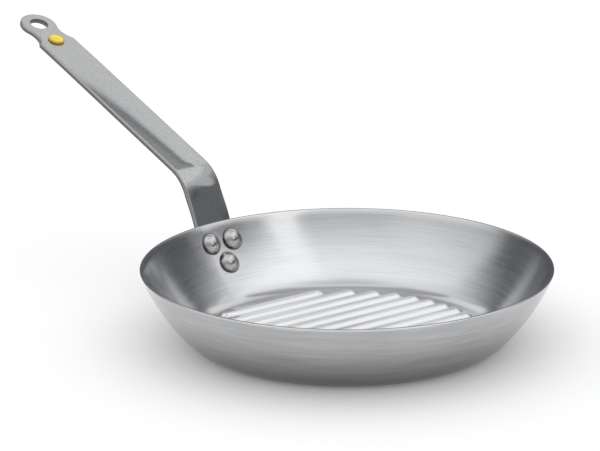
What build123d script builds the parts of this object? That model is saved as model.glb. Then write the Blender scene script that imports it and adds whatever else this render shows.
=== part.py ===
# Grill pan of pressed steel sheet with a riveted strip-steel handle.
# Millimetres, +Z up. The origin is on the pan's axis, on the underside of its base,
# and the handle rises along +X.
import os
from math import acos, asin, atan2, cos, degrees, hypot, radians, sin, sqrt

from build123d import *

# Pan body
rim_radius = 130.0
wall_flare = 43.0  # from the edge of the flat base out to the rim
base_radius = rim_radius - wall_flare
pan_height = 48.5
corner_radius = 22.0
corner_turn_share = 0.96  # of the rise from the base's edge to the rim
sheet_thickness = 2.5
rim_outer_round = 0.8
rim_inner_round = 0.4

# Grill ribs pressed up into the base, with their grooves beneath
rib_pitch = 12.1
rib_height = 2.2
rib_base_width = 10.0
rib_crest_width = 3.7
rib_crest_round = 3.0
rib_end_run = 2.0  # past the edge of the flat base
rib_root = 0.5  # down into the sheet
rib_turn = 4.5  # degrees away from square to the handle
groove_width = 5.2
groove_depth = 1.6

# Handle: one strip that hugs the wall, rises above the rim and bends outwards
strip_width = 29.0
strip_thickness = 3.3
riser_angle = 70.0
riser_length = 14.5
bend_radius = 30.0
handle_angle = 22.6
hole_reach = 175.5  # from the end of the bend to the hanging hole
flat_run = 50.5  # from the crown's end to the hanging hole
crown_length = hole_reach - flat_run
crown_height = 1.2
eyelet_radius = 13.0
neck_radius = 17.5
neck_waist_share = 0.83
hanging_hole_radius = 6.1
foot_end_radius = 9.5

# Rivets, two above and one below
upper_rivet_drop = 11.5  # below the rim
upper_rivet_height = pan_height - upper_rivet_drop
rivet_row_step = 12.7
lower_rivet_height = upper_rivet_height - rivet_row_step
upper_rivet_spacing = 18.0
rivet_head_radius = 7.2
rivet_head_height = 5.2
rivet_shank_radius = 3.0
shop_head_radius = 4.8
shop_head_height = 2.0
rivet_hole_clearance = 0.1
rivet_seat_clearance = 0.02

# Button set in the handle below the eyelet
button_setback = 21.2  # from the hanging hole
button_radius = 5.7
button_height = 1.6
button_rim_width = 0.9
button_edge_round = 0.5
button_recess = 0.3
button_crown = 0.5
button_stem_radius = 2.5
button_collar_radius = 3.6
button_collar_height = 0.8
button_clearance = 0.05

cut_overrun = 5.0

# Wall profile: a corner arc off the flat base, then one large arc up to the rim
rise_angle = degrees(atan2(pan_height, rim_radius - base_radius))
corner_angle = corner_turn_share * rise_angle
corner_end_r = base_radius + corner_radius * sin(radians(corner_angle))
corner_end_z = corner_radius * (1 - cos(radians(corner_angle)))
wall_chord = hypot(rim_radius - corner_end_r, pan_height - corner_end_z)
wall_chord_angle = degrees(atan2(pan_height - corner_end_z, rim_radius - corner_end_r))
wall_radius = wall_chord / (2 * sin(radians(wall_chord_angle - corner_angle)))
wall_centre_r = corner_end_r - wall_radius * sin(radians(corner_angle))
wall_centre_z = corner_end_z + wall_radius * cos(radians(corner_angle))
inner_wall_radius = wall_radius - sheet_thickness
strip_back_radius = wall_radius + strip_thickness


def wall_slope(radius, height):
    """Slope in degrees of the arc with this radius about the wall's centre, where it passes this height."""
    return degrees(acos((wall_centre_z - height) / radius))


def wall_place(radius, slope):
    """Distance from the pan's axis, and height, of the point with this slope on that arc."""
    return (
        wall_centre_r + radius * sin(radians(slope)),
        wall_centre_z - radius * cos(radians(slope)),
    )


def lean(angle):
    """Unit vector in the handle's upright plane, at this angle above level."""
    return Vector(cos(radians(angle)), 0, sin(radians(angle)))


# Rivet places: each plane lies on the inner wall, its axis points into the pan
def rivet_plane(across, height):
    """Plane touching the inner wall at this height and this far to the side of the handle's middle."""
    slope = wall_slope(inner_wall_radius, height)
    out, _ = wall_place(inner_wall_radius, slope)
    turn = degrees(asin(across / out))
    return Plane(
        origin=Vector(out, 0, height).rotate(Axis.Z, turn),
        x_dir=Vector(0, 1, 0).rotate(Axis.Z, turn),
        z_dir=lean(slope + 90).rotate(Axis.Z, turn),
    )


rivet_planes = {
    "rivet_upper_left": rivet_plane(upper_rivet_spacing / 2, upper_rivet_height),
    "rivet_upper_right": rivet_plane(-upper_rivet_spacing / 2, upper_rivet_height),
    "rivet_lower": rivet_plane(0, lower_rivet_height),
}
rivet_grip = sheet_thickness + strip_thickness + rivet_seat_clearance
rivet_hole_radius = rivet_shank_radius + rivet_hole_clearance
rivet_head_lift = (
    inner_wall_radius - sqrt(inner_wall_radius**2 - rivet_head_radius**2) + rivet_seat_clearance
)

# Rib places, in a plane turned with the ribs
rib_count = 2 * int(base_radius / rib_pitch)
rib_offsets = [(i - (rib_count - 1) / 2) * rib_pitch for i in range(rib_count)]
rib_flank = (rib_base_width - rib_crest_width) / 2
rib_draft = degrees(atan2(rib_flank, rib_height))
rib_root_spread = rib_root * rib_flank / rib_height


def rib_plane(height):
    """Level plane at this height, turned so that its Y runs along the ribs."""
    return Plane.XY.offset(height).rotated((0, 0, -rib_turn))


def rib_length(offset):
    """Length of the rib whose middle line lies this far from the pan's axis."""
    return 2 * sqrt((base_radius + rib_end_run) ** 2 - offset**2)


# Ribs: long slots rooted in the sheet, with sloped flanks and rounded crests
with BuildPart() as ribs:
    for offset in rib_offsets:
        with BuildSketch(rib_plane(sheet_thickness - rib_root)):
            with Locations((offset, 0)):
                SlotOverall(
                    rib_length(offset) + 2 * rib_root_spread,
                    rib_base_width + 2 * rib_root_spread,
                    rotation=90,
                )
        extrude(amount=rib_root + rib_height, taper=rib_draft)
    fillet(ribs.faces().filter_by(Axis.Z).group_by(Axis.Z)[-1].edges(), rib_crest_round)

# Pan body: the sheet turned about the axis, ribs raised on it and grooves pressed under them
with BuildPart() as pan_body:
    with BuildSketch(Plane.XZ) as wall_section:
        with BuildLine():
            inner_rim_r, _ = wall_place(inner_wall_radius, wall_slope(inner_wall_radius, pan_height))
            under = Line((0, 0), (base_radius, 0))
            outer_corner = JernArc(under @ 1, (1, 0), corner_radius, corner_angle)
            outer_wall = TangentArc(outer_corner @ 1, (rim_radius, pan_height), tangent=outer_corner % 1)
            floor = Line((0, sheet_thickness), (base_radius, sheet_thickness))
            inner_corner = JernArc(floor @ 1, (1, 0), corner_radius - sheet_thickness, corner_angle)
            inner_wall = TangentArc(inner_corner @ 1, (inner_rim_r, pan_height), tangent=inner_corner % 1)
            Line(inner_wall @ 1, outer_wall @ 1)
            Line(floor @ 0, under @ 0)
        make_face()
        fillet(wall_section.vertices().sort_by(Axis.X)[-1], rim_outer_round)
        fillet(wall_section.vertices().group_by(Axis.Y)[-1].sort_by(Axis.X)[0], rim_inner_round)
    revolve(axis=Axis.Z)
    add(ribs.part)
    with BuildSketch(rib_plane(0)):
        for offset in rib_offsets:
            with Locations((offset, 0)):
                SlotOverall(rib_length(offset) - rib_base_width + groove_width, groove_width, rotation=90)
    extrude(amount=groove_depth, mode=Mode.SUBTRACT)
    for plane in rivet_planes.values():
        with BuildSketch(plane.offset(cut_overrun)):
            Circle(rivet_hole_radius)
        extrude(amount=-(cut_overrun + sheet_thickness + cut_overrun), mode=Mode.SUBTRACT)

# Handle path along the strip's front face: up the wall, straight, round the bend, straight out
foot_top = Vector(0, 0, 0)
foot_top.X, foot_top.Z = wall_place(wall_radius, riser_angle)
bend_start = foot_top + lean(riser_angle) * riser_length
bend_centre = bend_start + lean(riser_angle - 90) * bend_radius
bend_end = bend_centre + lean(handle_angle + 90) * bend_radius
crown_end = bend_end + lean(handle_angle) * crown_length
hole_centre = bend_end + lean(handle_angle) * hole_reach
button_centre = hole_centre - lean(handle_angle) * button_setback

# Outline of the strip's far end: shoulders, a waist and the round eyelet
strip_half = strip_width / 2
neck_half = neck_waist_share * min(eyelet_radius, strip_half)
neck_x = flat_run - sqrt((eyelet_radius + neck_radius) ** 2 - (neck_half + neck_radius) ** 2)
shoulder_x = neck_x - sqrt(neck_radius**2 - (neck_half + neck_radius - strip_half) ** 2)
blend_share = eyelet_radius / (eyelet_radius + neck_radius)
blend_x = flat_run + blend_share * (neck_x - flat_run)
blend_y = blend_share * (neck_half + neck_radius)


def strip_section(place, angle, crown):
    """Cross-section of the strip square to its path: its front face arched by crown, the back alike."""
    with BuildSketch(Plane(origin=place, x_dir=(0, 1, 0), z_dir=lean(angle))) as section:
        with BuildLine():
            if crown:
                ThreePointArc((-strip_half, -crown), (0, 0), (strip_half, -crown))
            else:
                Line((-strip_half, 0), (strip_half, 0))
            Line((strip_half, -crown), (strip_half, -crown - strip_thickness))
            if crown:
                ThreePointArc(
                    (strip_half, -crown - strip_thickness),
                    (0, -strip_thickness),
                    (-strip_half, -crown - strip_thickness),
                )
            else:
                Line((strip_half, -strip_thickness), (-strip_half, -strip_thickness))
            Line((-strip_half, -crown - strip_thickness), (-strip_half, -crown))
        make_face()
    return section.sketch.faces()[0]


bend_start_section = strip_section(bend_start, riser_angle, crown_height)
bend_end_section = strip_section(bend_end, handle_angle, crown_height)
flat_section = strip_section(crown_end, handle_angle, 0)
foot_end_slope = wall_slope(inner_wall_radius, lower_rivet_height)
_, foot_end_z = wall_place(wall_radius, foot_end_slope)
_, foot_shoulder_z = wall_place(wall_radius, wall_slope(inner_wall_radius, upper_rivet_height))

with BuildPart() as handle:
    with BuildSketch(Plane.XZ):
        with BuildLine():
            low_slope = wall_slope(strip_back_radius, foot_end_z - foot_end_radius - cut_overrun)
            high_slope = wall_slope(strip_back_radius, foot_top.Z + strip_thickness + cut_overrun)
            centre = (wall_centre_r, wall_centre_z)
            front = CenterArc(centre, wall_radius, low_slope - 90, high_slope - low_slope)
            back = CenterArc(centre, strip_back_radius, low_slope - 90, high_slope - low_slope)
            Line(front @ 0, back @ 0)
            Line(front @ 1, back @ 1)
        make_face()
    revolve(axis=Axis.Z)
    with BuildSketch(Plane.YZ):
        with Locations((0, foot_end_z)):
            Circle(foot_end_radius)
        with Locations((0, foot_shoulder_z)):
            Rectangle(strip_width, rim_radius, align=(Align.CENTER, Align.MIN))
        make_hull()
    extrude(amount=2 * rim_radius, mode=Mode.INTERSECT)
    split(bisect_by=Plane(origin=foot_top, x_dir=(0, 1, 0), z_dir=lean(riser_angle)), keep=Keep.BOTTOM)
    foot_top_face = handle.faces().sort_by(Axis.Z)[-1]
    loft(sections=[foot_top_face, bend_start_section])
    revolve(
        bend_start_section,
        axis=Axis(bend_centre, (0, 1, 0)),
        revolution_arc=riser_angle - handle_angle,
    )
    loft(sections=[bend_end_section, flat_section])
    with BuildSketch(Plane(origin=crown_end, x_dir=lean(handle_angle), z_dir=lean(handle_angle + 90))):
        with BuildLine():
            side = Line((0, strip_half), (shoulder_x, strip_half))
            ThreePointArc(side @ 1, (neck_x, neck_half), (blend_x, blend_y))
            mirror(about=Plane.XZ)
            ThreePointArc((blend_x, blend_y), (flat_run + eyelet_radius, 0), (blend_x, -blend_y))
            Line((0, -strip_half), (0, strip_half))
        make_face()
        with Locations((flat_run, 0)):
            Circle(hanging_hole_radius, mode=Mode.SUBTRACT)
        with Locations((flat_run - button_setback, 0)):
            Circle(button_stem_radius + button_clearance, mode=Mode.SUBTRACT)
    extrude(amount=-strip_thickness)
    for plane in rivet_planes.values():
        with BuildSketch(plane):
            Circle(rivet_hole_radius)
        extrude(amount=-(rivet_grip + cut_overrun), mode=Mode.SUBTRACT)

# Rivets: a domed head inside the pan, a shank through wall and strip, a low head outside
rivets = {}
for name, plane in rivet_planes.items():
    with BuildPart() as rivet:
        with BuildSketch(Plane(origin=plane.origin, x_dir=plane.x_dir, z_dir=-plane.y_dir)):
            with BuildLine():
                head_edge = Vector(rivet_head_radius, rivet_head_lift)
                TangentArc((0, rivet_head_lift + rivet_head_height), head_edge, tangent=(1, 0))
                Polyline(
                    head_edge,
                    (rivet_shank_radius, rivet_head_lift),
                    (rivet_shank_radius, -rivet_grip),
                    (shop_head_radius, -rivet_grip),
                )
                TangentArc(
                    (0, -rivet_grip - shop_head_height), (shop_head_radius, -rivet_grip), tangent=(1, 0)
                )
                Line((0, -rivet_grip - shop_head_height), (0, rivet_head_lift + rivet_head_height))
            make_face()
        revolve(axis=Axis(plane.origin, plane.z_dir))
    rivet.part.label = name
    rivets[name] = rivet.part

# Button: a rimmed disc on the strip, its stem through it and a collar behind
with BuildPart() as badge_button:
    with BuildSketch(Plane(origin=button_centre, x_dir=lean(handle_angle), z_dir=(0, -1, 0))) as button_half:
        with BuildLine():
            field_radius = button_radius - button_rim_width
            field_edge = Vector(field_radius, button_height - button_recess)
            TangentArc((0, field_edge.Y + button_crown), field_edge, tangent=(1, 0))
            Polyline(
                field_edge,
                (field_radius, button_height),
                (button_radius, button_height),
                (button_radius, 0),
                (button_stem_radius, 0),
                (button_stem_radius, -strip_thickness),
                (button_collar_radius, -strip_thickness),
                (button_collar_radius, -strip_thickness - button_collar_height),
                (0, -strip_thickness - button_collar_height),
                (0, field_edge.Y + button_crown),
            )
        make_face()
        fillet(button_half.vertices().group_by(Axis.Y)[-1].sort_by(Axis.X)[-1], button_edge_round)
    revolve(axis=Axis(button_centre, lean(handle_angle + 90)))

pan_body.part.label = "pan_body"
handle.part.label = "handle"
badge_button.part.label = "badge_button"

os.makedirs("parts", exist_ok=True)
export_step(pan_body.part, "parts/pan_body.step")
export_step(handle.part, "parts/handle.step")
export_step(badge_button.part, "parts/badge_button.step")
for name, rivet_part in rivets.items():
    export_step(rivet_part, f"parts/{name}.step")
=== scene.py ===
"""Looks of the grill pan: brushed steel bowl with ribs, satin strip handle, three rivets and a button."""

from functools import reduce
from math import acos, asin, atan2, cos, hypot, radians, sin, sqrt, tan

import bmesh
import bpy
import numpy as np
from mathutils import Matrix, Vector


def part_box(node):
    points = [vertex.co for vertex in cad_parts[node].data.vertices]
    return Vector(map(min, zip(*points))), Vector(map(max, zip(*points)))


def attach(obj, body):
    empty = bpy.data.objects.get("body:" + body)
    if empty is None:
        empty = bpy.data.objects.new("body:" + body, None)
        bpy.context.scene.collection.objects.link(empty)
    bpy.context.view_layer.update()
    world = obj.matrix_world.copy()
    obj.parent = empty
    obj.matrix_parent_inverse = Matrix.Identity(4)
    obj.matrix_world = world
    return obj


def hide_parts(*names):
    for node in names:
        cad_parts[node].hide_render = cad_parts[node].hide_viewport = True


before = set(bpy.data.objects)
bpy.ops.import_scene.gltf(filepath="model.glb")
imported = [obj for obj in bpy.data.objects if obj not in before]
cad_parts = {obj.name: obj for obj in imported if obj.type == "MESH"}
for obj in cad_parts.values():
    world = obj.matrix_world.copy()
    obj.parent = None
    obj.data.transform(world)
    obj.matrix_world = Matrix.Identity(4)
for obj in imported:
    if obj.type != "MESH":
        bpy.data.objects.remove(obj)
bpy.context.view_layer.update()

mm = 0.001
quarter_turn = radians(90)
merge_distance = 0.002 * mm
least_edge = 0.001 * mm

# Pan body, as the frame has it
rim_radius = 130.0 * mm
pan_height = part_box("pan_body")[1].z
base_radius = 87.0 * mm
corner_radius = 22.0 * mm
corner_turn_share = 0.96
sheet_thickness = 2.5 * mm
rim_outer_round = 0.8 * mm
rim_inner_round = 0.4 * mm
inner_lip_start = radians(160)
inner_wall_stop = 1.5 * rim_inner_round
outer_wall_stop = 2.0 * rim_outer_round

# Ribs and the grooves beneath them
rib_end_run = 2.0 * mm
rib_field_radius = base_radius + rib_end_run
rib_pitch = 12.1 * mm
rib_height = 2.2 * mm
rib_base_width = 10.0 * mm
rib_crest_width = 3.7 * mm
rib_crest_round = 3.0 * mm
rib_foot_round = 0.8 * mm
rib_turn = radians(4.5)
groove_width = 5.2 * mm
groove_depth = 1.6 * mm
groove_flank_inside = 0.15 * mm
groove_flank_outside = 0.2 * mm

# Plate of the base, and the ring of the wall that starts just beyond it
plate_radius = 93.0 * mm
plate_reach = 91.5 * mm
plate_margin = 0.6 * mm
ring_gap = 1.0 * mm
ring_start_radius = plate_radius + ring_gap
# Lines across a rib, as shares of half its base width
rib_line_shares = np.array([0, 0.10, 0.18, 0.25, 0.32, 0.39, 0.46, 0.53, 0.64, 0.78, 0.90, 0.96, 1.02, 1.08])

# Handle strip
strip_width = 29.0 * mm
strip_thickness = 3.3 * mm
riser_angle = radians(70.0)
riser_length = 14.5 * mm
bend_radius = 30.0 * mm
handle_angle = radians(22.6)
hole_reach = 175.5 * mm
crown_height = 1.2 * mm
crown_length = 125.0 * mm
eyelet_radius = 13.0 * mm
neck_radius = 17.5 * mm
neck_waist_share = 0.83
joint_setback = 1.5 * mm
hanging_hole_radius = 6.1 * mm
hole_round = 0.35 * mm
foot_end_radius = 9.5 * mm
front_edge_round = 1.1 * mm
back_edge_round = 0.6 * mm
front_edge_steps = 8

# Rivets
upper_rivet_height = 37.0 * mm
lower_rivet_height = 24.3 * mm
upper_rivet_spacing = 18.0 * mm
rivet_head_radius = 7.2 * mm
rivet_head_height = 5.2 * mm
rivet_head_skirt = 0.6 * mm
rivet_seat_clearance = 0.02 * mm
shop_head_radius = 4.8 * mm
shop_head_height = 2.0 * mm
shank_share = 0.6

# Button
button_setback = 21.2 * mm
button_radius = 5.7 * mm
button_height = 1.6 * mm
button_rim_width = 0.9 * mm
button_recess = 0.3 * mm
button_crown = 0.5 * mm
colour_step_inside = 0.2 * mm
colour_step_outside = 0.1 * mm
button_collar_radius = 3.6 * mm
button_collar_height = 0.8 * mm
button_stem_share = 0.7
collar_side_share = 0.7
collar_top_share = 0.85

# Finishes: where the base's finish passes into the wall's, the painted shade at the foot of the wall,
# in the turn into the base and in the seams at the rivets' heads, and the relief of the grain
floor_finish_height = 4.0 * mm
wall_finish_height = 12.0 * mm
floor_gloss = 0.05
foot_shade_height = 0.8 * pan_height
corner_shade_rise = 4.0 * mm
corner_shade_fall = 10.0 * mm
corner_shade_end = 17.0 * mm
# Painted shade in the seam round each rivet head, on the bowl and on the head's foot
seam_width = 0.9 * mm
rivet_painted_shade_edges = (0.3 * mm, 2.3 * mm)
rivet_painted_shade = 0.14
outer_head_edges = (-3.0 * mm, -4.0 * mm)
grain_bump_strength = 0.12
grain_bump_height = 0.1 * mm

# Camera, from the perspective fit of the photo
camera_distance = 1.76130
camera_azimuth = radians(137.34)
camera_elevation = 0.31484
camera_aim_height = 20.0 * mm
look_azimuth = radians(-41.665)
look_down = 0.28531
camera_roll = -0.00599
camera_lens = 168.0
camera_sensor = 36.0

# Wall profile: after the corner's turn one arc runs on to the rim
rise_angle = atan2(pan_height, rim_radius - base_radius)
corner_angle = corner_turn_share * rise_angle
corner_end_r = base_radius + corner_radius * sin(corner_angle)
corner_end_z = corner_radius * (1 - cos(corner_angle))
wall_chord = hypot(rim_radius - corner_end_r, pan_height - corner_end_z)
wall_chord_angle = atan2(pan_height - corner_end_z, rim_radius - corner_end_r)
wall_radius = wall_chord / (2 * sin(wall_chord_angle - corner_angle))
wall_centre_r = corner_end_r - wall_radius * sin(corner_angle)
wall_centre_z = corner_end_z + wall_radius * cos(corner_angle)
inner_wall_radius = wall_radius - sheet_thickness


def wall_slope(radius, height):
    """Slope of the arc with this radius about the wall's centre, where it passes this height.

    Its cosine is the drop from the centre over the radius.
    """
    return acos((wall_centre_z - height) / radius)


def wall_place(radius, slope):
    """Distance from the axis and height of the point with this slope on that arc.

    It lies the radius times the slope's sine out from the centre, and times its cosine below it.
    """
    return wall_centre_r + radius * np.sin(slope), wall_centre_z - radius * np.cos(slope)


# Mesh building
def grid_faces(rows, columns, closed):
    """Quads of a grid of points stored row by row; in a closed grid the last row joins the first."""
    index = np.arange(rows * columns).reshape(rows, columns)
    if closed:
        index = np.vstack([index, index[:1]])
    corners = [index[:-1, :-1], index[:-1, 1:], index[1:, 1:], index[1:, :-1]]
    return np.stack([corner.ravel() for corner in corners], axis=1)


def edge_loop(grid):
    """Points round a grid's edge, in order."""
    return np.vstack([grid[:-1, 0], grid[-1, :-1], grid[:0:-1, -1], grid[0, :0:-1]])


def add_object(name, data):
    """An object with this data, put into the scene."""
    added = bpy.data.objects.new(name, data)
    bpy.context.scene.collection.objects.link(added)
    return added


def piece_from_grids(name, grids, finishes, node):
    """One closed smooth mesh from point grids of shape (rows, columns, 3): equal points are merged.

    Each grid is (points, closed, number of its finish).
    """
    points, faces, finish_numbers = [], [], []
    start = 0
    for grid, closed, number in grids:
        rows, columns = grid.shape[:2]
        quads = grid_faces(rows, columns, closed)
        points.append(grid.reshape(-1, 3))
        faces.append(quads + start)
        finish_numbers.append(np.full(len(quads), number))
        start += rows * columns
    mesh = bpy.data.meshes.new(name)
    mesh.from_pydata(np.vstack(points).tolist(), [], np.vstack(faces).tolist())
    mesh.polygons.foreach_set("material_index", np.concatenate(finish_numbers))
    work = bmesh.new()
    work.from_mesh(mesh)
    bmesh.ops.remove_doubles(work, verts=work.verts, dist=merge_distance)
    bmesh.ops.dissolve_degenerate(work, edges=work.edges, dist=least_edge)
    bmesh.ops.recalc_face_normals(work, faces=work.faces)
    work.to_mesh(mesh)
    work.free()
    mesh.polygons.foreach_set("use_smooth", np.ones(len(mesh.polygons), bool))
    for finish in finishes:
        mesh.materials.append(finish)
    piece = add_object(name, mesh)
    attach(piece, "root")
    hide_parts(node)
    return piece


def arc_points(centre, radius, start, end, count):
    """Points of a circle's arc: its centre, plus the radius times cosine and sine of each angle."""
    angle = np.linspace(start, end, count)
    return np.stack([centre[0] + radius * np.cos(angle), centre[1] + radius * np.sin(angle)], axis=1)


# Pan body
rib_count = 2 * int(base_radius / rib_pitch)
rib_offsets = (np.arange(rib_count) - (rib_count - 1) / 2) * rib_pitch


def rib_distance(across, along):
    """Distance of a point from the middle line of the nearest rib, whose ends are rounded.

    It is the root of the squares of the distance across and of what lies beyond the line's end.
    """
    nearest = rib_offsets[np.abs(across[..., None] - rib_offsets).argmin(-1)]
    half = np.sqrt(rib_field_radius**2 - nearest**2) - rib_base_width / 2
    beyond = np.maximum(np.abs(along) - half, 0)
    return np.hypot(across - nearest, beyond)


def soft_ramp(value, low, high):
    """0 up to low, 1 from high on, and between them 3 times the share's square less twice its cube."""
    share = np.clip((value - low) / (high - low), 0, 1)
    return share * share * (3 - 2 * share)


def corner_lift(radius, turn_radius):
    """Height of the corner arc above the flat, at this distance from the axis.

    It is the arc's radius less the root of its square minus the square of the run from the flat.
    """
    run = np.clip(radius - base_radius, 0, turn_radius)
    return turn_radius - np.sqrt(turn_radius**2 - run**2)


def rib_profile(distance):
    """Height of a rib this far from its middle line.

    A level crest, a rounded shoulder, a straight slope and a rounded foot. Both roundings are arcs
    that touch the slope and the level beside them.
    """
    slope = atan2(rib_height, (rib_base_width - rib_crest_width) / 2)
    crest_end = rib_crest_width / 2 - rib_crest_round * tan(slope / 2)
    foot_start = rib_base_width / 2 + rib_foot_round * tan(slope / 2)
    line = (rib_base_width / 2 - distance) * tan(slope)
    over = np.clip(distance - crest_end, 0, rib_crest_round * sin(slope))
    shoulder = rib_height - rib_crest_round + np.sqrt(rib_crest_round**2 - over**2)
    under = np.clip(foot_start - distance, 0, rib_foot_round * sin(slope))
    foot = rib_foot_round - np.sqrt(rib_foot_round**2 - under**2)
    on_shoulder = distance < crest_end + rib_crest_round * sin(slope)
    on_foot = distance > foot_start - rib_foot_round * sin(slope)
    return np.where(on_shoulder, shoulder, np.where(on_foot, foot, line))


def plate_top(across, along):
    """Upper face of the base: the higher of the floor with its corner and the ribs."""
    lift = corner_lift(np.hypot(across, along), corner_radius - sheet_thickness)
    return sheet_thickness + np.maximum(lift, rib_profile(rib_distance(across, along)))


def plate_under(across, along):
    """Lower face of the base: the higher of the flat with its corner and the grooves pressed into it."""
    lift = corner_lift(np.hypot(across, along), corner_radius)
    flank = groove_width / 2
    ramp = soft_ramp(rib_distance(across, along), flank - groove_flank_inside, flank + groove_flank_outside)
    return np.maximum(lift, groove_depth * (1 - ramp))


def plate_columns():
    """Places across the ribs: close together on their flanks, and a few beyond the last rib."""
    near = rib_line_shares * rib_base_width / 2
    around = np.concatenate([-near[:0:-1], near])
    ribs = (rib_offsets[:, None] + around).ravel()
    between = rib_offsets[:-1] + rib_pitch / 2
    edge = rib_offsets[-1] + rib_base_width / 2
    outside = np.linspace(edge + 2 * plate_margin, plate_reach, num=6)
    inside = ribs[np.abs(ribs) < edge + plate_margin]
    return np.unique(np.round(np.concatenate([-outside, inside, between, outside]), 7))


def plate_row_shares():
    """Shares of the way from a column's middle to each end: close together at the ribs' ends."""
    half = np.concatenate([np.linspace(0, 0.70, num=9), np.linspace(0.715, 0.99, num=34), [1.0]])
    return np.concatenate([-half[:0:-1], half])


def bowl_profile():
    """Section of the sheet from the inner corner up to the rim, over it and down to the outer corner.

    Each stretch is an arc: corner, wall and rounded lip on the inside, then the same outside.
    """
    inner_turn = corner_radius - sheet_thickness
    ring_run = ring_start_radius - base_radius
    corner_end = corner_angle - quarter_turn
    top_inner = wall_slope(inner_wall_radius, pan_height)
    top_outer = wall_slope(wall_radius, pan_height)

    centre = (base_radius, sheet_thickness + inner_turn)
    start = asin(ring_run / inner_turn) - quarter_turn
    inner_corner = arc_points(centre, inner_turn, start, corner_end, count=9)
    slopes = np.linspace(corner_angle, top_inner - inner_wall_stop / inner_wall_radius, num=14)[1:]
    inner_wall = np.stack(wall_place(inner_wall_radius, slopes), axis=1)

    top_r, _ = wall_place(inner_wall_radius, top_inner)
    centre = (top_r + rim_inner_round, pan_height - rim_inner_round)
    lip_in = arc_points(centre, rim_inner_round, inner_lip_start, quarter_turn, count=4)
    top_r = rim_radius - rim_outer_round * (1 + cos(top_outer)) / sin(top_outer)
    centre = (top_r, pan_height - rim_outer_round)
    lip_out = arc_points(centre, rim_outer_round, quarter_turn, top_outer - quarter_turn, count=7)

    slopes = np.linspace(top_outer - outer_wall_stop / wall_radius, corner_angle, num=15)
    outer_wall = np.stack(wall_place(wall_radius, slopes), axis=1)
    centre = (base_radius, corner_radius)
    end = asin(ring_run / corner_radius) - quarter_turn
    outer_corner = arc_points(centre, corner_radius, corner_end, end, count=9)[1:]
    return np.vstack([inner_corner, inner_wall, lip_in, lip_out, outer_wall, outer_corner])


def make_pan_body(inside_finish, outside_finish):
    """Bowl as one closed sheet: a plate of columns along the ribs, and a ring turned about the axis.

    The ring has the profile at the heading of each point of the plate's edge.
    """
    columns = plate_columns()[:, None]
    along = np.sqrt(plate_radius**2 - columns**2) * plate_row_shares()
    across = np.broadcast_to(columns, along.shape)
    turn = np.array([[cos(rib_turn), -sin(rib_turn)], [sin(rib_turn), cos(rib_turn)]])
    flat = np.stack([across, along], axis=-1) @ turn
    top = np.concatenate([flat, plate_top(across, along)[..., None]], axis=-1)
    under = np.concatenate([flat, plate_under(across, along)[..., None]], axis=-1)

    top_edge = edge_loop(top)
    heading = np.arctan2(top_edge[:, 1], top_edge[:, 0])[:, None]
    profile = bowl_profile()
    ring = np.empty((len(top_edge), len(profile) + 2, 3))
    ring[:, 1:-1, 0] = np.cos(heading) * profile[:, 0]
    ring[:, 1:-1, 1] = np.sin(heading) * profile[:, 0]
    ring[:, 1:-1, 2] = profile[:, 1]
    ring[:, 0] = top_edge
    ring[:, -1] = edge_loop(under)
    lip = int(profile[:, 0].argmax()) + 1
    inside, outside = ring[:, : lip + 1], ring[:, lip:]
    grids = [(top, False, 0), (inside, True, 0), (outside, True, 1), (under, False, 1)]
    piece = piece_from_grids("brushed_bowl", grids, [inside_finish, outside_finish], "pan_body")


# Handle path along the middle of its front face
def lean(angle):
    """Unit vectors in the handle's upright plane, at these angles above level."""
    return np.stack([np.cos(angle), np.zeros_like(angle), np.sin(angle)], axis=-1)


strip_half = strip_width / 2
foot_top_r, foot_top_z = wall_place(wall_radius, riser_angle)
foot_top = np.array([foot_top_r, 0.0, foot_top_z])
bend_start = foot_top + lean(riser_angle) * riser_length
bend_centre = bend_start + lean(riser_angle - quarter_turn) * bend_radius
bend_end = bend_centre + lean(handle_angle + quarter_turn) * bend_radius
hole_centre = bend_end + lean(handle_angle) * hole_reach
button_centre = hole_centre - lean(handle_angle) * button_setback
bend_length = bend_radius * (riser_angle - handle_angle)
bend_end_s = riser_length + bend_length
hole_s = bend_end_s + hole_reach

# Outline of the eyelet end, measured from the hanging hole along the strip
neck_half = neck_waist_share * min(eyelet_radius, strip_half)
neck_x = -sqrt((eyelet_radius + neck_radius) ** 2 - (neck_half + neck_radius) ** 2)
shoulder_x = neck_x - sqrt(neck_radius**2 - (neck_half + neck_radius - strip_half) ** 2)
joint_x = shoulder_x - joint_setback

# Lines of the strip's faces, as shares of the half width: close together at both edges
across_shares = np.concatenate([[-1, -0.985], np.linspace(-0.94, 0.94, num=17), [0.985, 1]])


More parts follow.
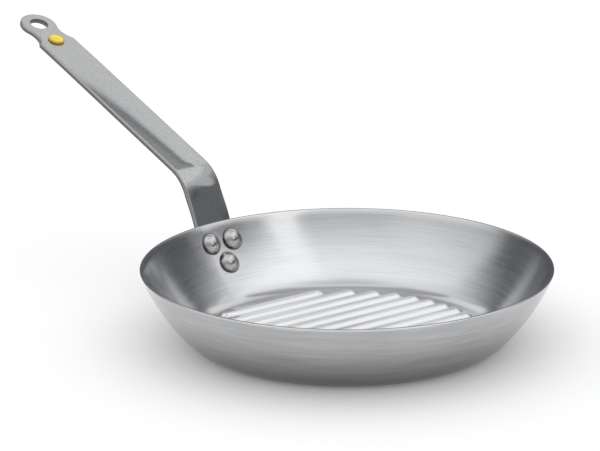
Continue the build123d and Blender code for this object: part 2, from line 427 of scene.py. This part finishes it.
def strip_point(s, y, depth):
    """Point of the strip at length s along its path, y across it and depth behind its front face.

    Below the riser the strip follows the bowl's wall turned about the axis. Then the path runs
    straight up the riser, round the bend's arc and straight on, and the point lies behind it along
    the path's normal. Along the riser the wall's sideways curve, the square of y over the diameter,
    passes evenly into the crown, which also falls with the square of y and fades out along the
    straight handle.
    """
    s, y, depth = np.broadcast_arrays(s, y, depth)
    ring_r, ring_z = wall_place(wall_radius + depth, riser_angle + np.minimum(s, 0) / wall_radius)
    foot = np.stack([np.sqrt(ring_r**2 - y**2), y, ring_z], axis=-1)
    angle = riser_angle - np.clip((s - riser_length) / bend_radius, 0, riser_angle - handle_angle)
    front = lean(angle + quarter_turn)
    rise = np.clip(s, 0, riser_length)
    reach = np.maximum(s - bend_end_s, 0)
    middle = np.where(
        (s <= riser_length)[..., None],
        foot_top + lean(riser_angle) * rise[..., None],
        bend_centre + front * bend_radius + lean(angle) * reach[..., None],
    )
    crown = crown_height * np.clip(1 - reach / crown_length, 0, 1)
    blend = np.clip(s / riser_length, 0, 1)[..., None]
    wrap = lean(0.0) * (-(y**2) / (2 * foot_top_r))[..., None]
    arch = -front * (crown * (y / strip_half) ** 2)[..., None]
    bent = middle + wrap * (1 - blend) + arch * blend - front * depth[..., None]
    bent[..., 1] += y
    return np.where((s < 0)[..., None], foot, bent)


def edge_steps():
    """Rounded edge of the strip from front to back: how far inside the outline, and how deep.

    It is a quarter circle at the front and a smaller one at the back.
    """
    centre = (front_edge_round, front_edge_round)
    front = arc_points(centre, front_edge_round, -quarter_turn, -2 * quarter_turn, front_edge_steps)
    centre = (back_edge_round, strip_thickness - back_edge_round)
    back = arc_points(centre, back_edge_round, 2 * quarter_turn, quarter_turn, count=5)
    return np.vstack([front, back])


def edge_grids(s, y, out_s, out_y):
    """Rounded side of the strip along an outline with outward directions (out_s, out_y).

    Each step of the edge lies its inset against that direction from the outline. The rounding at
    the front keeps the finish of the face.
    """
    inset, depth = edge_steps().T
    side = strip_point(s[:, None] - out_s[:, None] * inset, y[:, None] - out_y[:, None] * inset, depth)
    return [(side[:, :front_edge_steps], False, 0), (side[:, front_edge_steps - 1 :], False, 1)]


def face_grid(s, half, depth):
    """Face of the strip from side to side, at this depth."""
    return strip_point(s[:, None], half[:, None] * across_shares, depth)


def foot_outline():
    """Half outline of the foot in path length and width: a round end and straight tangent flanks."""
    _, end_z = wall_place(wall_radius, wall_slope(inner_wall_radius, lower_rivet_height))
    _, shoulder_z = wall_place(wall_radius, wall_slope(inner_wall_radius, upper_rivet_height))
    run = shoulder_z - end_z
    tangent = atan2(strip_half, run) - acos(foot_end_radius / hypot(run, strip_half))
    end = arc_points((0.0, end_z), foot_end_radius, -quarter_turn, tangent, count=15)
    flank = np.linspace(end[-1], (strip_half, shoulder_z), num=8)[1:]
    y, z = np.vstack([end, flank]).T
    s = (np.arccos((wall_centre_z - z) / wall_radius) - riser_angle) * wall_radius
    return s, y


def make_handle(face_finish, edge_finish):
    """Strip in three parts that share their lines: foot, bent strip, and eyelet plate round its hole.

    A direction out of the strip goes with each outline point: square to the foot's outline, and
    straight sideways along the rest.
    """
    foot_s, foot_y = foot_outline()
    step = np.gradient(np.stack([foot_s, foot_y], axis=1), axis=0)
    foot_out = np.stack([-step[:, 1], step[:, 0]], axis=1) / np.hypot(*step.T)[:, None]
    foot_out[0] = (-1, 0)
    foot_out[-1] = (0, 1)
    riser_s = np.linspace(foot_s[-1], riser_length, num=12)[1:]
    bend_s = np.linspace(riser_length, bend_end_s, num=26)[1:]
    straight_s = np.linspace(bend_end_s, hole_s + joint_x, num=50)[1:]
    s = np.concatenate([foot_s, riser_s, bend_s, straight_s])
    flank_count = len(s) - len(foot_s)
    y = np.concatenate([foot_y, np.full(flank_count, strip_half)])
    out = np.vstack([foot_out, np.tile([0.0, 1.0], (flank_count, 1))])
    grids = []
    for inset, depth in ((front_edge_round, 0.0), (back_edge_round, strip_thickness)):
        grids.append((face_grid(s - out[:, 0] * inset, y - out[:, 1] * inset, depth), False, 0))
    for side in (1, -1):
        grids += edge_grids(s, side * y, out[:, 0], side * out[:, 1])
    grids += eyelet_grids()
    piece = piece_from_grids("satin_strip", grids, [face_finish, edge_finish], "handle")


def eyelet_outline():
    """Outline of the eyelet end from one side of the joint round the tip to the other.

    It runs straight, then on the arc of the waisted neck and on that of the head, which touch, and
    the other side mirrors it. The directions out of the strip come with it.
    """
    neck_centre = np.array([neck_x, neck_half + neck_radius])
    neck_start = atan2(strip_half - neck_centre[1], shoulder_x - neck_x)
    neck_end = atan2(-neck_centre[1], -neck_x)
    neck = arc_points(neck_centre, neck_radius, neck_start, neck_end, count=16)
    head = arc_points((0.0, 0.0), eyelet_radius, atan2(neck_centre[1], neck_x), 0.0, count=40)[1:]
    side = np.linspace((joint_x, strip_half), (shoulder_x, strip_half), num=3)[:-1]
    side_out = np.tile([0.0, 1.0], (len(side), 1))
    half = np.vstack([side, neck, head])
    half_out = np.vstack([side_out, (neck_centre - neck) / neck_radius, head / eyelet_radius])
    other = half[-2::-1] * (1, -1)
    other_out = half_out[-2::-1] * (1, -1)
    return np.vstack([half, other]), np.vstack([half_out, other_out])


def eyelet_grids():
    """Eyelet plate: outer edge, two faces, the hole's two rounded rims and its wall.

    A face's lines run straight from the hole's rim to the loop of the outline and the joint, each at
    its own angle about the hole. The rim's radius falls and its level sinks along a quarter circle.
    """
    outline, outward = eyelet_outline()
    edges = edge_grids(hole_s + outline[:, 0], outline[:, 1], outward[:, 0], outward[:, 1])
    radial_shares = np.concatenate([[0, 0.02], np.linspace(0.08, 0.92, num=10), [0.98, 1]])
    turn = np.linspace(0, quarter_turn, num=5)
    faces, rims, brinks = [], [], []
    for inset, depth, inward in ((front_edge_round, 0.0, 1), (back_edge_round, strip_thickness, -1)):
        joint_y = (strip_half - inset) * across_shares[1:-1]
        joint = np.stack([np.full(len(joint_y), joint_x), joint_y], axis=1)
        loop = np.vstack([outline - outward * inset, joint])[:, None]
        angle = np.arctan2(loop[..., 1], loop[..., 0])
        around = np.stack([np.cos(angle), np.sin(angle)], axis=-1)
        hole = (hanging_hole_radius + hole_round) * around
        flat = hole + (loop - hole) * radial_shares[:, None]
        faces.append((strip_point(hole_s + flat[..., 0], flat[..., 1], depth), True, 0))
        rim = around * (hanging_hole_radius + hole_round * (1 - np.sin(turn)))[:, None]
        level = depth + inward * hole_round * (1 - np.cos(turn))
        rims.append((strip_point(hole_s + rim[..., 0], rim[..., 1], level), True, 1))
        brinks.append(hanging_hole_radius * around)
    brink = np.concatenate(brinks, axis=1)
    levels = (hole_round, strip_thickness - hole_round)
    wall = (strip_point(hole_s + brink[..., 0], brink[..., 1], levels), True, 1)
    return edges + faces + rims + [wall]


# Turned pieces
def turned_grid(profile, origin, axis, count):
    """Profile of (radius, height) points turned about an axis through origin.

    A point is the origin, plus its radius times a direction square to the axis, plus its height
    times the axis.
    """
    axis = Vector(axis).normalized()
    side = axis.orthogonal().normalized()
    third = axis.cross(side)
    angle = np.linspace(0, 2 * np.pi, count, endpoint=False)[:, None]
    outward = np.cos(angle) * np.array(side) + np.sin(angle) * np.array(third)
    return np.array(origin) + outward[:, None] * profile[:, :1] + np.array(axis) * profile[:, 1:]


def cap_profile(edge_radius, height, edge_level, way, count):
    """Profile of a spherical cap from its pole to its edge, rising (way 1) or hanging (way -1).

    The sphere's radius is the sum of both squares over twice the height, and half the cap's opening
    is twice the angle whose tangent is height over edge radius.
    """
    radius = (edge_radius**2 + height**2) / (2 * height)
    opening = 2 * atan2(height, edge_radius)
    centre = (0.0, edge_level + way * (height - radius))
    return arc_points(centre, radius, way * quarter_turn, way * (quarter_turn - opening), count)


def rivet_place(across, height):
    """Point on the inner wall and direction into the pan, this far to the side of the handle's middle."""
    slope = wall_slope(inner_wall_radius, height)
    out, _ = wall_place(inner_wall_radius, slope)
    turn = Matrix.Rotation(asin(across / out), 3, "Z")
    return turn @ Vector((out, 0, height)), turn @ Vector((-sin(slope), 0, cos(slope)))


def make_rivet(node, across, height):
    """Rivet with a domed head inside and a low head outside: two spherical caps on a shank.

    The domed head's edge is lifted by the wall's rise beneath it, plus a small clearance.
    """
    origin, axis = rivet_place(across, height)
    finish = rivet_steel(node + "_steel", origin, axis)
    lift = inner_wall_radius - sqrt(inner_wall_radius**2 - rivet_head_radius**2) + rivet_seat_clearance
    grip = sheet_thickness + strip_thickness + rivet_seat_clearance
    shank_radius = shop_head_radius * shank_share
    skirt_level = lift - rivet_head_skirt
    dome = cap_profile(rivet_head_radius, rivet_head_height, lift, 1, count=26)
    skirt = [(rivet_head_radius, skirt_level), (shank_radius, skirt_level)]
    neck = [(shank_radius, -grip), (shop_head_radius, -grip)]
    low_head = cap_profile(shop_head_radius, shop_head_height, -grip, -1, count=12)[::-1]
    profile = np.vstack([dome, skirt, neck, low_head])
    grid = turned_grid(profile, origin, axis, count=64)
    piece = piece_from_grids(node + "_head", [(grid, True, 0)], [finish], node)


def make_button(finish):
    """Button with a raised rounded rim about a low dome, and its collar behind the strip.

    The dome falls with the square of the distance from its middle.
    """
    field = button_radius - button_rim_width
    share = np.linspace(0, 1, num=12)
    dome_edge = button_height - button_recess
    dome = np.stack([field * share, dome_edge + button_crown * (1 - share**2)], axis=1)
    rim_round = button_rim_width / 2
    centre = (button_radius - rim_round, button_height - rim_round)
    rim = arc_points(centre, rim_round, 2 * quarter_turn, 0.0, count=12)[1:]
    stem_radius = button_collar_radius * button_stem_share
    collar_end = -strip_thickness - button_collar_height
    back = [
        (button_radius, 0.0),
        (stem_radius, 0.0),
        (stem_radius, -strip_thickness),
        (button_collar_radius, -strip_thickness),
        (button_collar_radius, -strip_thickness - button_collar_height * collar_side_share),
        (button_collar_radius * collar_top_share, collar_end),
        (0.0, collar_end),
    ]
    profile = np.vstack([dome, rim, back])
    grid = turned_grid(profile, button_centre, lean(handle_angle + quarter_turn), count=72)
    piece = piece_from_grids("yellow_button", [(grid, True, 0)], [finish], "badge_button")


# Shader maths
class Value:
    """A number in a node tree: arithmetic on it adds Math nodes."""

    def __init__(self, tree, socket):
        self.tree = tree
        self.socket = socket

    def math(self, operation, *others):
        """The result of a Math node on this value and the others."""
        sockets = dict(enumerate((self,) + others))
        return make_node(self.tree, "ShaderNodeMath", {"operation": operation}, sockets)

    def __add__(self, other):
        return self.math("ADD", other)

    __radd__ = __add__

    def __mul__(self, other):
        return self.math("MULTIPLY", other)

    __rmul__ = __mul__

    def __sub__(self, other):
        return self.math("SUBTRACT", other)

    def __rsub__(self, other):
        return (self * -1) + other

    def __truediv__(self, other):
        return self.math("DIVIDE", other)

    def __rtruediv__(self, other):
        return make_node(self.tree, "ShaderNodeMath", {"operation": "DIVIDE"}, {0: other, 1: self})

    def ramp(self, low, high, start=0.0, end=1.0):
        """Soft step of this value: start until it reaches low, end once it reaches high."""
        settings = {"interpolation_type": "SMOOTHSTEP"}
        sockets = {"Value": self, "From Min": low, "From Max": high, "To Min": start, "To Max": end}
        return make_node(self.tree, "ShaderNodeMapRange", settings, sockets)

    def mix(self, first, second):
        """first where this value is 0, second where it is 1."""
        return self * (second - first) + first


def make_node(tree, kind, settings, sockets, output=0):
    """Adds a node with its settings and the values or links of its sockets, and returns one output."""
    node = tree.nodes.new(kind)
    for name, setting in settings.items():
        setattr(node, name, setting)
    for name, value in sockets.items():
        if isinstance(value, Value):
            tree.links.new(value.socket, node.inputs[name])
        else:
            node.inputs[name].default_value = value
    return Value(tree, node.outputs[output]) if len(node.outputs) else None


def new_material(name):
    """An empty node material with its tree."""
    material = bpy.data.materials.new(name)
    material.use_nodes = True
    material.node_tree.nodes.clear()
    return material, material.node_tree


def finish_surface(tree, sockets):
    """Principled shader with these sockets, joined to the output."""
    shader = make_node(tree, "ShaderNodeBsdfPrincipled", {}, sockets)
    make_node(tree, "ShaderNodeOutputMaterial", {}, {"Surface": shader})


def object_place(tree):
    """Place on the piece, in its own coordinates."""
    return make_node(tree, "ShaderNodeTexCoord", {}, {}, "Object")


def parts(tree, vector):
    """The three parts of a vector."""
    split = make_node(tree, "ShaderNodeSeparateXYZ", {}, {"Vector": vector})
    return [Value(tree, output) for output in split.socket.node.outputs]


def joined(tree, x, y, z):
    """Vector of three values."""
    return make_node(tree, "ShaderNodeCombineXYZ", {}, {"X": x, "Y": y, "Z": z})


def vector_value(tree, operation, first, second):
    """The number that a Vector Math node makes of two vectors."""
    return make_node(tree, "ShaderNodeVectorMath", {"operation": operation}, {0: first, 1: second}, "Value")


def noise(tree, place, scale, detail, roughness=0.5):
    """Noise value at a place, about 0.5 on average."""
    sockets = {"Vector": place, "Scale": scale, "Detail": detail, "Roughness": roughness}
    return make_node(tree, "ShaderNodeTexNoise", {}, sockets)


def colour_of(tree, red, green, blue):
    """Colour of three values."""
    return make_node(tree, "ShaderNodeCombineColor", {}, {"Red": red, "Green": green, "Blue": blue})


def brightest(*values):
    """The greatest of these values at each point."""
    return reduce(lambda most, value: most.math("MAXIMUM", value), values)


def grain_bump(tree, height):
    """Normal of a surface with this fine relief."""
    sockets = {"Strength": grain_bump_strength, "Distance": grain_bump_height, "Height": height}
    return make_node(tree, "ShaderNodeBump", {}, sockets, "Normal")


def light_path(tree, *names):
    """These outputs of a Light Path node."""
    outputs = make_node(tree, "ShaderNodeLightPath", {}, {}).socket.node.outputs
    return [Value(tree, outputs[name]) for name in names]


# Finishes
def brushed_bowl_steel(
    name, tone, roughness, streak_depth, painted_foot_shade=1.0, painted_corner_shade=1.0, painted_seam_shade=1.0, floor_share=1.0
):
    """Steel brushed in circles about the axis: streaks far longer round the pan than up its wall.

    The streaks lie in tone, roughness and bump, and floor_share of them is left on the base.
    The foot, corner and seam factors paint shade into the colour: they darken the lowest part of the
    wall, the turn into the base and a narrow seam round each rivet head.
    """
    material, tree = new_material(name)
    place = object_place(tree)
    x, y, z = parts(tree, place)
    radius = (x * x + y * y).math("SQRT")
    # Place along the sheet's section: it grows outwards over the base and up the wall
    section = radius + z * 1.2

    def streaks(length, pitch, detail, roughness):
        """Noise stretched round the axis: its grains are about this long and this far apart."""
        turns = rim_radius / length
        stretched = joined(tree, x / radius * turns, y / radius * turns, section / pitch)
        return noise(tree, stretched, scale=1.0, detail=detail, roughness=roughness)

    fine = streaks(length=30 * mm, pitch=1.1 * mm, detail=4.0, roughness=0.7)
    wide = streaks(length=70 * mm, pitch=6.0 * mm, detail=3.0, roughness=0.5)
    blotch = noise(tree, joined(tree, x, y, z * 2.5), scale=14.0, detail=3.0)
    fine_share, wide_share, blotch_share = 1.4, 0.6, 0.5
    middle = (fine_share + wide_share + blotch_share) / 2
    on_wall = z.ramp(floor_finish_height, wall_finish_height)
    kept = on_wall.mix(floor_share, 1.0)
    streak = (fine * fine_share + wide * wide_share + blotch * blotch_share - middle) * kept

    # Painted shade: darker at the wall's foot, in the turn into the base and in a seam round each rivet head
    shade = z.ramp(0.0, foot_shade_height, painted_foot_shade, 1.0)
    turned = radius.ramp(base_radius, base_radius + corner_shade_rise)
    turned = turned * radius.ramp(base_radius + corner_shade_end, base_radius + corner_shade_fall)
    shade = shade * turned.mix(1.0, painted_corner_shade)
    for origin in rivet_origins:
        near = vector_value(tree, "DISTANCE", place, tuple(origin))
        shade = shade * near.ramp(rivet_head_radius, rivet_head_radius + seam_width, painted_seam_shade, 1.0)
    value = (streak * streak_depth + tone) * shade
    finish_surface(
        tree,
        {
            "Base Color": colour_of(tree, value * 0.995, value, value * 1.005),
            "Metallic": 1.0,
            "Roughness": streak * 0.08 + on_wall.mix(roughness - floor_gloss, roughness),
            "Anisotropic": 0.75,
            "Anisotropic Rotation": 0.25,
            "Normal": grain_bump(tree, streak),
        },
    )
    return material


def satin_strip_steel(name, tone, roughness):
    """Satin steel with a fine even grain that shows in tone, roughness and bump."""
    material, tree = new_material(name)
    place = object_place(tree)
    grain = noise(tree, place, scale=1100.0, detail=3.0, roughness=0.7)
    cloud = noise(tree, place, scale=60.0, detail=3.0)
    value = (grain * 0.9 + cloud * 0.1 + 0.5) * tone
    finish_surface(
        tree,
        {
            "Base Color": colour_of(tree, value * 0.985, value, value),
            "Metallic": 1.0,
            "Roughness": grain * 0.06 + cloud * 0.04 + (roughness - 0.05),
            "Normal": grain_bump(tree, grain),
        },
    )
    return material


def rivet_steel(name, origin, axis):
    """Bright rivet steel with faint scuffs, with painted shade in the seam at the domed head's foot."""
    material, tree = new_material(name)
    place = object_place(tree)
    scuff = noise(tree, place, scale=900.0, detail=4.0, roughness=0.7)
    # Height above the inner wall along the rivet: the head outside lies far below it and stays bright
    height = vector_value(tree, "DOT_PRODUCT", place, tuple(axis)) - origin.dot(axis)
    # Painted shade: darkest at the head's foot, where it meets the wall
    shade = height.ramp(*rivet_painted_shade_edges, rivet_painted_shade, 1.0)
    shade = brightest(shade, height.ramp(*outer_head_edges))
    value = (scuff * 0.12 + 0.50) * shade
    finish_surface(
        tree,
        {
            "Base Color": colour_of(tree, value, value, value * 0.99),
            "Metallic": 1.0,
            "Roughness": scuff * 0.10 + 0.10,
        },
    )
    return material


def button_gloss():
    """Glossy yellow field with a darker golden rim, split by distance from the button's axis."""
    material, tree = new_material("glossy_yellow")
    place = object_place(tree)
    offset = vector_value(tree, "DISTANCE", place, tuple(button_centre))
    field = button_radius - button_rim_width
    rim = offset.ramp(field - colour_step_inside, field + colour_step_outside)
    # Sockets 6 and 7 and output 2 of a Mix node are its colours
    field_yellow, rim_gold = (0.95, 0.74, 0.05, 1), (0.72, 0.47, 0.04, 1)
    sockets = {"Factor": rim, 6: field_yellow, 7: rim_gold}
    colour = make_node(tree, "ShaderNodeMix", {"data_type": "RGBA"}, sockets, 2)
    mottle = noise(tree, place, scale=700.0, detail=2.0)
    finish_surface(tree, {"Base Color": colour, "Roughness": mottle * 0.08 + 0.10, "Coat Weight": 0.6})
    return material


# Stage
def make_floor():
    """Large pale floor that takes the pan's shadow and shows as white away from it."""
    reach = 12.0
    mesh = bpy.data.meshes.new("studio_floor")
    corners = [(-reach, -reach, 0), (reach, -reach, 0), (reach, reach, 0), (-reach, reach, 0)]
    mesh.from_pydata(corners, [], [(0, 1, 2, 3)])
    floor = add_object("studio_floor", mesh)
    material, tree = new_material("pale_floor")
    camera, glossy, through = light_path(tree, "Is Camera Ray", "Is Glossy Ray", "Is Transmission Ray")
    seen = brightest(camera, glossy, through)
    sockets = {"Base Color": (0.95, 0.95, 0.95, 1), "Roughness": 0.9, "Specular IOR Level": 0.0}
    sockets |= {"Emission Color": colour_of(tree, seen, seen, seen), "Emission Strength": 0.12}
    finish_surface(tree, sockets)
    mesh.materials.append(material)


def card(level, *edges):
    """Brightness of a soft card: its level times a soft step from 0 to 1 for each edge.

    An edge is (value, where the step starts, where it is full).
    """
    for value, start, full in edges:
        level = value.ramp(start, full) * level
    return level


def make_world():
    """Studio round the pan: a sky, and cards of which the brightest counts.

    They are placed by height, z, which is the sine of the angle above level, and by heading: ahead
    is 1 straight beyond the pan and -1 behind the camera, and aside is 1 on the camera's right and
    -1 on its left. The camera sees white, and matt surfaces are lit evenly.
    """
    world = bpy.data.worlds.new("studio")
    bpy.context.scene.world = world
    world.use_nodes = True
    tree = world.node_tree
    tree.nodes.clear()
    x, y, z = parts(tree, make_node(tree, "ShaderNodeTexCoord", {}, {}, "Generated"))
    heading = camera_azimuth + radians(180)
    away = x * cos(heading) + y * sin(heading)
    right = x * sin(heading) - y * cos(heading)
    # Never 0, so that the division holds straight overhead
    outward = (away * away + right * right).math("SQRT").math("MAXIMUM", 0.001)
    ahead = away / outward
    aside = right / outward

    # Dark at the horizon, bright above and a little darker overhead
    sky = z.ramp(0.28, 0.93, 0.10, 1.04) * z.ramp(0.95, 1.0, 1.0, 0.75)
    # Wall behind the camera, brighter high up and on the left
    behind = ahead + aside.ramp(0.0, 1.0) * 0.65
    wall_level = z.ramp(0.30, 0.76, 0.50, 0.80) * aside.ramp(-0.2, -0.8, 0.80, 1.10)
    rear_wall = card(wall_level, (behind, 0.5, 0.1), (z, 0.10, 0.36))
    # Card beyond the pan, for the handle
    front_card = card(1.02, (ahead, 0.75, 0.85), (z, 0.45, 0.55), (z, 0.762, 0.742))
    # Card high on the right, brighter above
    side_level = z.ramp(0.68, 0.76, 0.85, 1.14)
    side_card = card(side_level, (aside, 0.3, 0.5), (z, 0.54, 0.64), (z, 0.97, 0.93))
    # Lower card on the right for the handle's bend, cut slantwise at its near and its far end
    near_cut, far_cut = z + ahead * 0.9, z - ahead
    bend_card = card(0.80, (aside, 0.5, 0.8), (z, 0.34, 0.41), (near_cut, 0.38, 0.44), (far_cut, 0.08, 0.34))
    # Dim light at every height far on the right, and above the floor behind the camera
    low_side = card(0.24, (aside, 0.92, 0.98))
    low_rear = card(0.44, (ahead, -0.72, -0.90), (z, -0.05, 0.05))
    sky = brightest(sky, rear_wall, front_card, side_card, bend_card, low_side, low_rear)

    # Dim band above the card beyond the pan, mirrored as the dark stripe along the handle
    band_level = z.ramp(0.75, 0.83, 0.30, 0.54)
    band = card(1.0, (z + ahead * 0.12, 0.864, 0.872), (ahead, 0.68, 0.80), (z, 0.94, 0.90))
    sky = band.mix(sky, band_level)
    # Narrow light behind the camera, on its right
    toward = aside * 0.669 - ahead * 0.743
    sky = brightest(sky, card(1.1, (toward, 0.972, 0.992), (z, 0.28, 0.42)))

    camera, diffuse = light_path(tree, "Is Camera Ray", "Is Diffuse Ray")
    even_light, white = 1.06, 1.0
    light = camera.mix(diffuse.mix(sky, even_light), white)
    green_tint, blue_tint = 0.004, 0.014
    colour = colour_of(tree, light, light + green_tint, light + blue_tint)
    background = make_node(tree, "ShaderNodeBackground", {}, {"Color": colour, "Strength": 1.0})
    make_node(tree, "ShaderNodeOutputWorld", {}, {"Surface": background})


def make_camera():
    """Camera where the perspective fit of the photo puts it."""
    data = bpy.data.cameras.new("photo_view")
    data.lens = camera_lens
    data.sensor_width = camera_sensor
    data.clip_start = 0.05
    data.clip_end = 100.0
    camera = add_object("photo_view", data)
    reach = camera_distance * cos(camera_elevation)
    height = camera_aim_height + camera_distance * sin(camera_elevation)
    place = Vector((reach * cos(camera_azimuth), reach * sin(camera_azimuth), height))
    forward = Vector(
        (cos(look_azimuth) * cos(look_down), sin(look_azimuth) * cos(look_down), -sin(look_down))
    )
    right = Vector((sin(look_azimuth), -cos(look_azimuth), 0))
    up = right.cross(forward)
    tilted_right = right * cos(camera_roll) + up * sin(camera_roll)
    tilted_up = up * cos(camera_roll) - right * sin(camera_roll)
    turn = Matrix((tilted_right, tilted_up, -forward)).transposed()
    camera.matrix_world = Matrix.Translation(place) @ turn.to_4x4()
    bpy.context.scene.camera = camera


# The whole scene
rivet_places = {
    "rivet_upper_left": (upper_rivet_spacing / 2, upper_rivet_height),
    "rivet_upper_right": (-upper_rivet_spacing / 2, upper_rivet_height),
    "rivet_lower": (0.0, lower_rivet_height),
}
rivet_origins = [rivet_place(*place)[0] for place in rivet_places.values()]
# The inside has painted shade in the turn into the base and in a seam round each rivet head
bowl_inside = brushed_bowl_steel(
    "circular_brushed_steel",
    tone=0.77,
    roughness=0.20,
    streak_depth=0.20,
    painted_corner_shade=0.80,
    painted_seam_shade=0.35,
    floor_share=0.2,
)
# The outside is a darker copy of the bowl's steel, and darker still at its foot: painted shade
bowl_outside = brushed_bowl_steel(
    "painted_shade_outer_steel", tone=0.50, roughness=0.22, streak_depth=0.26, painted_foot_shade=0.42
)
strip_face = satin_strip_steel("satin_strip_steel", tone=0.45, roughness=0.09)
# The strip's sides and the hole's wall get a darker copy of the satin steel: painted shade
strip_edge = satin_strip_steel("painted_shade_edge_steel", tone=0.13, roughness=0.30)
make_pan_body(bowl_inside, bowl_outside)
make_handle(strip_face, strip_edge)
for node, place in rivet_places.items():
    make_rivet(node, *place)
make_button(button_gloss())
make_floor()
make_world()
make_camera()
bpy.context.scene.view_settings.view_transform = "Standard"
